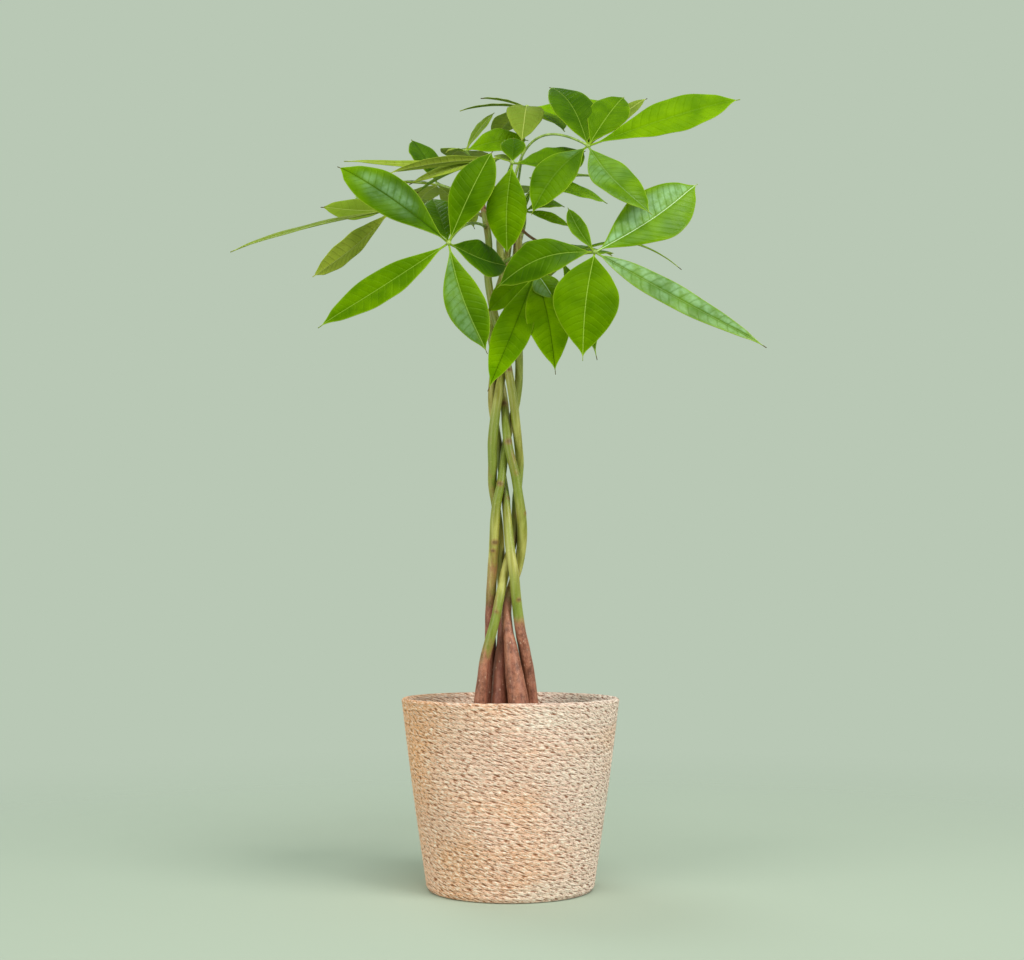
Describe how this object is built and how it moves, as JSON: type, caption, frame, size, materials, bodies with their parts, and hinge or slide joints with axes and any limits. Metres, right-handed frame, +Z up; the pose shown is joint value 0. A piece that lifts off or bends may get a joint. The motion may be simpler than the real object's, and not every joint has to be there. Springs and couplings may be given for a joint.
{
  "type": "potted money tree",
  "caption": "Braided-stem money tree with palmate glossy leaves, rooted in soil in a plastic nursery pot inside a round tapered coiled-rope basket.",
  "frame": {"origin": "centre of the basket's base, on the floor", "axes": "+Z up through the basket's middle, -Y towards the viewer of the front, +X to that viewer's right"},
  "size_m": [0.5047, 0.2845, 0.8003],
  "materials": {
    "basket": "coiled natural fibre rope, matt",
    "nursery_pot": "matt dark plastic",
    "soil": "damp crumbly potting soil",
    "stem": "smooth green-brown bark, satin",
    "leaf": "glossy green leaf"
  },
  "bodies": {
    "root": {"basket": "basket", "nursery_pot": "nursery_pot", "soil": "soil", "stem_1": "stem", "stem_2": "stem", "stem_3": "stem", "stem_4": "stem", "stem_5": "stem", "leaf_a": "leaf", "leaf_b": "leaf", "leaf_c": "leaf", "leaf_d": "leaf", "leaf_e": "leaf", "leaf_f": "leaf", "leaf_g": "leaf", "leaf_h": "leaf", "leaf_i": "leaf", "leaf_j": "leaf", "leaf_k": "leaf", "leaf_l": "leaf", "leaf_m": "leaf"}
  },
  "joints": []
}
